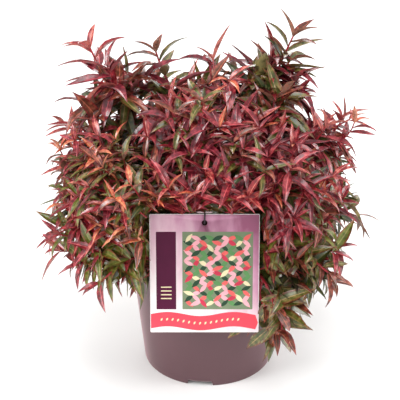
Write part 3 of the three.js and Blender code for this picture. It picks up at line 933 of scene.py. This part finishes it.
def new_leaf(curve, at, turn, spread, size, age, chances):
    """A leaf at a place on a curve, turned and spread from it, by its size, age and five chances."""
    axis = curve.along(at)
    side = side_of(axis, turn)
    along = unit(axis * cos(radians(spread)) + side * sin(radians(spread)) - UP * 0.05)
    face = axis * 0.6 + UP * 0.8
    over = unit(np.cross(np.cross(along, face), along))
    sway, twist = LEAF["sway"], LEAF["twist"]
    return {
        "root": curve.point(at),
        "along": along,
        "over": over,
        "length": size[0],
        "width": size[0] * size[1] * mix(0.85, 1.15, chances[1]),
        "bend": radians(mix(*LEAF["bend"], chances[2]) * mix(1.2, 1.0, age)),
        "sway": radians(mix(-sway, sway, chances[3])),
        "twist": radians(mix(-twist, twist, chances[4])),
        "fold": mix(*LEAF["fold"], age) * mix(0.8, 1.3, chances[0]),
        "phase": 6.3 * chances[4],
    }


def is_above_tag(point):
    """Whether a point lies close above the clear space, or beside its top."""
    x, y, out = sight_of(point)
    room = ABOVE_TAG["room"]
    level = -ABOVE_TAG["below"] < y - tag_top < room
    return level and out > -ABOVE_TAG["behind"] and abs(x) < TAG["width"] / 2 + room


def kind_of(root, tint, age, chance):
    """The kind of leaf by its age on its spray: older and darker kinds lie deeper in the crown, and under one
    depth all are of the shade kind or dark green, partly as old inner leaves and partly as painted shade.
    """
    kinds = TINTS[tint]
    depth = max(depth_of(root), DEPTH["above_tag"] if is_above_tag(root) else 0)
    young = tint in YOUNG["tints"] and age < YOUNG["age"] and chance < YOUNG["share"]
    if young and depth > YOUNG["depth"]:
        return "young"
    if depth < DEPTH["dark"]:
        return "shade" if chance < DEPTH["shaded"] else "green"
    deeper = DEPTH["aging"] * (min(depth, DEPTH["outermost"]) - DEPTH["even"])
    place = (1 - age) * len(kinds) + KIND_CHANCE * (chance - 0.5) + deeper
    return kinds[int(min(max(place, 0), len(kinds) - 1))]


def make_leaf_piece(kind, leaves, nodes):
    """All leaves of one kind as one piece."""
    slot, *colors = LEAF_KINDS[kind]
    faces, slots = leaf_faces()
    points = np.concatenate([leaf_points(leaf) for leaf in leaves])
    size = len(points) // len(leaves)
    all_faces = [tuple(i + n * size for i in face) for n in range(len(leaves)) for face in faces]
    materials = [
        leaf_material(f"{kind}_{side}", color, colors[2], roughness)
        for (side, roughness), color in zip(LEAF_ROUGHNESS.items(), colors)
    ]
    piece = make_piece(f"leaves_{kind}", points, all_faces, materials, slots * len(leaves), sharp=70)
    finish_piece(piece, slot, *nodes)


def grow_mass(mass, order):
    """The shoots and twigs of a mass, and all its leaves, the old ones along its bough too."""
    draw = numbers(7001 + 331 * order + 17 * mass["seed"])
    ends = {"start": 0.0, "end": mass["enter"], "first": OLD_FIRST, "youngest": mass["old_youngest"]}
    leaves = grow_leaves({"curve": mass["curve"], **ends}, mass, mass["old_tint"], draw)
    twigs = []
    for shoot in grow_shoots(mass, order):
        tint = deal_tint(mass["palette"], draw())
        for twig in [shoot, *grow_twigs(mass, shoot, draw)]:
            twigs.append(twig)
            leaves += grow_leaves(twig, mass, tint, draw)
    return twigs, leaves


def make_foliage(masses):
    """The twigs and leaves of all masses, each kind joined."""
    nodes = [f"foliage_{mass['name']}" for mass in masses]
    stalks = Pile()
    by_kind = {kind: [] for kind in LEAF_KINDS}
    for order, mass in enumerate(masses):
        twigs, leaves = grow_mass(mass, order)
        for twig in twigs:
            start, end = twig["start"], twig["end"]
            steps = max(5, round(twig["curve"].length(start, end) / 9))
            path = twig["curve"].points(start, end, steps)
            stalks.add(*tube(path, np.linspace(twig["foot"], twig["tip"], steps + 1), 6))
        for leaf in leaves:
            by_kind[leaf["kind"]].append(leaf)
    finish_piece(stalks.piece("twigs", [twig_material()]), "twig", *nodes)
    for kind, leaves in by_kind.items():
        make_leaf_piece(kind, leaves, nodes)


# Stem and boughs


def bark_relief(scale, depth):
    """Ridges along a limb, as a share of its radius at a turn and a ring."""

    def relief(turn, ring):
        spot = Vector((2.2 * cos(turn), 2.2 * sin(turn), ring * scale))
        return 1 + depth * (noise.noise(spot * 2) + 0.5 * noise.noise(spot * 5))

    return relief


def make_stem(material):
    """The stem flares at its foot, narrows at its fork and leans a little to the right."""
    profile = [
        (STEM["flare"], 0),
        (STEM["foot"] + 3.2, 2.5),
        (STEM["foot"] + 1.5, 6),
        (STEM["foot"], 14),
        (STEM["top"] + 1, STEM["height"] - 5),
        (STEM["top"] - 3, STEM["height"]),
    ]
    heights = np.linspace(0, STEM["height"], STEM["rings"])
    radii = np.interp(heights, [z for _, z in profile], [r for r, _ in profile])
    foot = SOIL["top"] + GAP
    path = [(STEM["lean"] * (z / STEM["height"]) ** 2, 0, z + foot) for z in heights]
    points, faces = tube(path, radii, STEM["sides"], bark_relief(0.12, 0.16))
    finish_piece(make_piece("stem_bark", points, faces, [material], sharp=60), "bark", "stem")


def make_boughs(masses, material):
    """Each bough, from inside the stem to where its limb enters the mass."""
    for mass in masses:
        name, curve, enter = mass["name"], mass["curve"], mass["enter"]
        steps = round(curve.length(0, enter) / BOUGH["ring_spacing"])
        path = curve.points(0, enter, steps)
        radii = np.linspace(BOUGH["foot"], BOUGH["tip"], steps + 1)
        points, faces = tube(path, radii, BOUGH["sides"], bark_relief(0.3, 0.14))
        finish_piece(make_piece(f"bark_{name}", points, faces, [material]), "bark", f"bough_{name}")


# Pot and compost


def pot_radius(z):
    return mix(POT["foot"], POT["rim"] - POT["lip"], z / POT["height"])


def arc(middle, radius, first, last, steps):
    """Points on an arc in the profile's plane, between two angles in degrees."""
    turns = [radians(mix(first, last, i / steps)) for i in range(steps + 1)]
    return [(middle[0] + radius * cos(turn), middle[1] + radius * sin(turn)) for turn in turns]


def make_pot():
    """A tapered wall, a rim that stands out over a small step, with a rolled top edge, and the notches."""
    under_rim = POT["height"] - POT["rim_height"]
    edge, wall, lip, foot, rim, height = (POT[k] for k in ("edge", "wall", "lip", "foot", "rim", "height"))
    profile = [(0, 0)]
    profile += arc((foot - edge, edge), edge, -90, -8, 5)
    profile += [(pot_radius(z), z) for z in np.linspace(8, under_rim - 1.5, 9)]
    profile += [(pot_radius(under_rim) + 0.3, under_rim - 0.5)]
    profile += arc((pot_radius(under_rim) + lip - 0.8, under_rim + 1.0), 0.8, -80, -5, 3)
    profile += arc((rim - 1.1, height - 1.1), 1.1, 5, 175, 8)
    profile += [(rim - 2 * lip + 0.4, height - 2.5), (pot_radius(under_rim) - wall, under_rim)]
    profile += [(pot_radius(POT["floor"]) - wall, POT["floor"]), (0, POT["floor"])]
    points, faces = lathe(profile, POT["sides"])
    pot = make_piece("pot_shell", points, faces, [pot_material()], sharp=40)
    cut(pot, [make_notch(i) for i in range(NOTCH["count"])])
    finish_piece(pot, "pot", "pot")


def make_notch(index):
    """One drain notch of the foot, as the block that is cut out of it."""
    half, height = NOTCH["width"] / 2, NOTCH["height"]
    top = half - NOTCH["narrowing"]
    outline = [(-half, -height), (half, -height), (top, height), (-top, height)]
    turn = radians(NOTCH["first_turn"] + index * 360 / NOTCH["count"])
    points = []
    for out in (POT["foot"] - NOTCH["inward"], POT["foot"] + NOTCH["inward"]):
        for x, z in outline:
            points.append((out * cos(turn) - x * sin(turn), out * sin(turn) + x * cos(turn), z))
    return make_piece(f"notch_{index}", points, ring_faces(2, 4), [])


def soil_radius(z):
    return pot_radius(z) - POT["wall"] - GAP


def soil_lumps(x, y, z):
    """How far the surface of the compost is raised at a place. Below its edge it's smooth."""
    if z < SOIL["top"] - SOIL["crown"] - 1:
        return 0
    spot = Vector((x, y, 0)) / 11
    return 1.4 * noise.noise(spot) + 0.9 * noise.noise(spot * 3) - 1


def make_soil():
    top, crown, floor = SOIL["top"], SOIL["crown"], POT["floor"] + GAP
    profile = [(0, floor), (soil_radius(floor) - GAP, floor), (soil_radius(top - crown), top - crown)]
    profile += [(soil_radius(top) * share, top - crown * share**3) for share in np.linspace(0.97, 0.04, 26)]
    profile += [(0, top)]
    pile = Pile()
    pile.add(*lathe(profile, SOIL["sides"], soil_lumps))
    draw = numbers(515)
    for _ in range(SOIL["crumbs"]):
        out = soil_radius(top) * 0.95 * draw() ** 0.5
        place = polar(360 * draw(), out, top - SOIL["sunk"])
        if out > STEM["flare"] + 2:
            pile.add(*crumb(place, mix(*SOIL["crumb"], draw() ** 2), draw))
    finish_piece(pile.piece("compost", [soil_material()], sharp=80), "soil", "soil")


def crumb(place, size, draw):
    """A small uneven lump of eight faces."""
    corners = np.array([(1, 0, 0), (0, 1, 0), (-1, 0, 0), (0, -1, 0), (0, 0, 1), (0, 0, -1)], float)
    corners *= [[mix(0.6, 1.2, draw())] * 3 for _ in corners]
    faces = [(i, (i + 1) % 4, 4) for i in range(4)] + [((i + 1) % 4, i, 5) for i in range(4)]
    return place + corners * size, faces


# Tag and strap


def strap_limb(bough):
    """The first place on the bough behind the tag that is as high as halfway from its hole to its edge."""
    at = 0.0
    while bough.point(at)[2] < TAG["top"] - TAG["down"] / 2:
        at += 0.001
    return bough.point(at)


def strap_path(limb):
    """A closed line through the tag's hole, over its top edge and round the bough behind it."""
    reach = BOUGH["foot"] + STRAP["radius"] + STRAP["slack"]
    hole, inside = tag_top - TAG["down"], TAG["thick"] / 2
    knots = [
        on_tag(0, hole, -2.5),
        on_tag(0, hole, inside),
        on_tag(0, hole + TAG["down"] / 2, TAG["thick"] + STRAP["radius"] + STRAP["room"]),
        on_tag(0, tag_top + STRAP["radius"] + STRAP["room"], inside),
    ]
    round_limb = ((-1, -0.6, 0), (-0.8, 0.7, 0), (0.8, 0.7, 0), (1, -0.6, 0))
    knots += [limb + reach * np.array(beside) for beside in round_limb]
    return closed_line(knots, STRAP["steps"])


def make_strap(masses):
    """The strap as a closed tube: its last ring joins its first."""
    bough = next(mass["curve"] for mass in masses if mass["name"] == "low_front")
    path = strap_path(strap_limb(bough))
    sides = STRAP["sides"]
    points, _ = tube(np.concatenate((path, path[:1])), np.full(len(path) + 1, STRAP["radius"]), sides)
    points = points[: len(path) * sides]
    faces = ring_faces(len(path), sides, closed=False)
    shift = seam_shift(points, sides)
    last = (len(path) - 1) * sides
    for i in range(sides):
        a, b = (i + shift) % sides, (i + 1 + shift) % sides
        faces.append((last + i, last + (i + 1) % sides, b, a))
    tie = make_piece("tag_tie", points, faces, [strap_material("tie", (58, 46, 50))])
    finish_piece(tie, "strap", "tag_strap")


def make_bar():
    """The small bar with round ends that lies along the tag's top edge."""
    half, radius = BAR["length"] / 2, BAR["radius"]
    height = tag_top + STRAP["room"] + radius
    path = [on_tag(x, height, TAG["thick"] / 2) for x in np.linspace(-half, half, 13)]
    radii = np.array([0.5, 0.9] + [1.0] * 9 + [0.9, 0.5]) * radius
    bar = make_piece("tag_bar", *tube(path, radii, BAR["sides"]), [strap_material("bar", (196, 174, 178))])
    finish_piece(bar, "strap", "tag_strap")


def closed_line(knots, steps):
    """A closed smooth line through its knots."""
    count = len(knots)
    line = []
    for k in range(count):
        before, here, after, later = (knots[(k + shift) % count] for shift in (-1, 0, 1, 2))
        leaving = STRAP["tension"] * (after - before)
        ending = STRAP["tension"] * (later - here)
        curve = Curve(here, leaving / 3, ending / 3, after)
        line += [curve.point(i / steps) for i in range(steps)]
    return np.array(line)


def seam_shift(points, sides):
    """How many places the last ring of a closed tube is turned from its first."""
    first, last = points[:sides], points[-sides:]
    return min(range(sides), key=lambda shift: np.linalg.norm(np.roll(first, -shift, axis=0) - last))


def prism(outline, low, high):
    """A flat piece in the tag's frame, from an outline that runs anticlockwise."""
    count = len(outline)
    points = [on_tag(x, y, low) for x, y in outline] + [on_tag(x, y, high) for x, y in outline]
    return points, ring_faces(2, count)


def rounded(x0, y0, x1, y1, radius, steps=5):
    """A rectangle with round corners, anticlockwise."""
    corners = [(x1 - radius, y0 + radius, -90), (x1 - radius, y1 - radius, 0)]
    corners += [(x0 + radius, y1 - radius, 90), (x0 + radius, y0 + radius, 180)]
    outline = []
    for x, y, first in corners:
        outline += arc((x, y), radius, first, first + 90, steps)
    return outline


def lens(x, y, length, width, turn, steps=8):
    """A pointed oval, anticlockwise."""
    upper = [(length * (0.5 - i / steps), width / 2 * sin(pi * i / steps)) for i in range(steps + 1)]
    lower = [(-px, -py) for px, py in upper[1:-1]]
    c, s = cos(radians(turn)), sin(radians(turn))
    return [(x + px * c - py * s, y + px * s + py * c) for px, py in upper + lower]


def make_tag():
    """The bare card, with its hole."""
    half, low = TAG["width"] / 2, tag_top - TAG["length"]
    card = prism(rounded(-half, low, half, tag_top, 1.2), 0, TAG["thick"])
    piece = make_piece("tag_card", *card, [print_material("card", (244, 238, 236), 0.4)], sharp=30)
    cut(piece, [hole_cutter()])
    finish_piece(piece, "tag", "tag")


def hole_cutter():
    middle = tag_top - TAG["down"]
    points = [on_tag(0, middle, out) for out in (-2, TAG["thick"] + 2)]
    return make_piece("hole", *tube(points, [HOLE["radius"]] * 2, HOLE["sides"]), [])


class Print:
    """The shapes printed on the card, collected by ink."""

    def __init__(self):
        self.piles = {}

    def add(self, ink, outline, level):
        """A shape lies a hair proud of the card, and the more so the higher its level."""
        face = TAG["thick"]
        pile = self.piles.setdefault(ink, Pile())
        pile.add(*prism(outline, face - PRINT["sunk"], face + PRINT["proud"] + PRINT["level"] * level))

    def finish(self):
        for ink, pile in self.piles.items():
            material = wash_material() if ink == "wash" else print_material(f"print_{ink}", INKS[ink])
            piece = pile.piece(f"tag_{ink}", [material], sharp=30)
            if ink == "wash":
                cut(piece, [hole_cutter()])
            finish_piece(piece, "tag")


def print_band(sheet, left, low):
    band, bars = PRINT["band"], PRINT["bars"]
    x, y = left + band["left"], low + band["low"]
    sheet.add("band", rounded(x, y, x + band["width"], tag_top - band["top"], 0.6), 1)
    x += (band["width"] - bars["width"]) / 2
    for i in range(bars["count"]):
        foot = y + bars["low"] + bars["spacing"] * i
        sheet.add("cream", rounded(x, foot, x + bars["width"], foot + bars["height"], 0.6), 2)


def print_panel(sheet, left, right, low):
    """Rows of pointed ovals that lean to one side and the other by turns."""
    panel, oval = PRINT["panel"], PRINT["oval"]
    x0, x1 = left + panel["left"], right - panel["right"]
    y0, y1 = low + panel["low"], tag_top - panel["top"]
    sheet.add("panel", rounded(x0, y0, x1, y1, 0.6), 1)
    draw = numbers(88)
    columns, rows = panel["columns"], panel["rows"]
    room = oval["length"] / 2
    for row in range(rows):
        for column in range(columns):
            x = mix(x0 + room, x1 - room, column / (columns - 1))
            y = mix(y0 + room, y1 - room, row / (rows - 1))
            lean = oval["lean"] * (1 if (row + column) % 2 else -1) + oval["sway"] * (draw() - 0.5)
            size = mix(0.85, 1.0, draw())
            outline = lens(x, y, oval["length"] * size, oval["width"] * size, lean)
            sheet.add(OVAL_COLORS[(3 * row + 2 * column) % len(OVAL_COLORS)], outline, 2 + (row + column) % 3)


def print_ribbon(sheet, left, right, low):
    """A wavy ribbon with a pointed end, and a row of slanting dots on it."""
    ribbon, dots = PRINT["ribbon"], PRINT["dots"]

    def height(x):
        return low + ribbon["middle"] + ribbon["swing"] * sin(2 * pi * (x - left) / ribbon["wave"])

    half = ribbon["width"] / 2
    stations = np.linspace(left, right - ribbon["tip"], 40)
    lower = [(x, height(x) - half) for x in stations]
    upper = [(x, height(x) + half) for x in stations]
    sheet.add("ribbon", lower + [(right, height(right))] + upper[::-1], 1)
    for x in np.linspace(left + dots["left"], right - dots["right"], dots["count"]):
        sheet.add("cream", lens(x, height(x), 2 * dots["width"], dots["width"], dots["lean"]), 2)


def make_prints():
    half, low, edge = TAG["width"] / 2, tag_top - TAG["length"], PRINT["edge"]
    sheet = Print()
    sheet.add("wash", rounded(edge - half, low + edge, half - edge, tag_top - edge, 1), 0)
    print_band(sheet, -half, low)
    print_panel(sheet, -half, half, low)
    print_ribbon(sheet, edge - half, half - edge, low)
    sheet.finish()


# Stage, light and camera


def make_floor():
    half, height = FLOOR["half"], FLOOR["height"]
    points = [(x * half, y * half, height) for x, y in ((-1, -1), (1, -1), (1, 1), (-1, 1))]
    tones = {0.3: linear(249, 249, 248), 0.7: linear(252, 252, 251)}
    material = patterned("floor", (251, 251, 250), 0.7, (0.5, 2), tones)
    floor = make_piece("floor", points, [(0, 1, 2, 3)], [material])


def make_lamp(name, place, size, power):
    light = bpy.data.lights.new(name, "AREA")
    light.shape = "DISK"
    light.size = size
    light.energy = power
    lamp = bpy.data.objects.new(name, light)
    lamp.location = place
    lamp.rotation_euler = (Vector(LIT) - Vector(place)).to_track_quat("-Z", "Y").to_euler()
    bpy.context.collection.objects.link(lamp)


def make_studio():
    world = bpy.data.worlds.new("studio")
    world.use_nodes = True
    set_inputs(world.node_tree.nodes["Background"], {"Color": (1.0, 1.0, 1.0, 1.0), "Strength": SKY})
    bpy.context.scene.world = world
    for name, (place, size, power) in LAMPS.items():
        make_lamp(name, place, size, power)
    bpy.context.scene.view_settings.view_transform = "Standard"


def make_camera():
    """The camera is level from side to side and looks down at the middle of the plant."""
    pitch = radians(CAMERA["pitch"])
    target = Vector(CAMERA["target"])
    data = bpy.data.cameras.new("camera")
    data.lens = CAMERA["lens"]
    data.sensor_width = CAMERA["sensor"]
    data.sensor_fit = "HORIZONTAL"
    data.clip_start = CAMERA["near"]
    camera = bpy.data.objects.new("camera", data)
    camera.location = (target + Vector((0, -cos(pitch), sin(pitch))) * CAMERA["distance"]) * MM
    camera.rotation_euler = (pi / 2 - pitch, 0, 0)
    bpy.context.collection.objects.link(camera)
    bpy.context.scene.camera = camera


make_camera()
make_studio()
make_floor()
masses = make_masses()
bark = bark_material()
make_pot()
make_soil()
make_stem(bark)
make_boughs(masses, bark)
make_foliage(masses)
make_strap(masses)
make_bar()
make_tag()
make_prints()
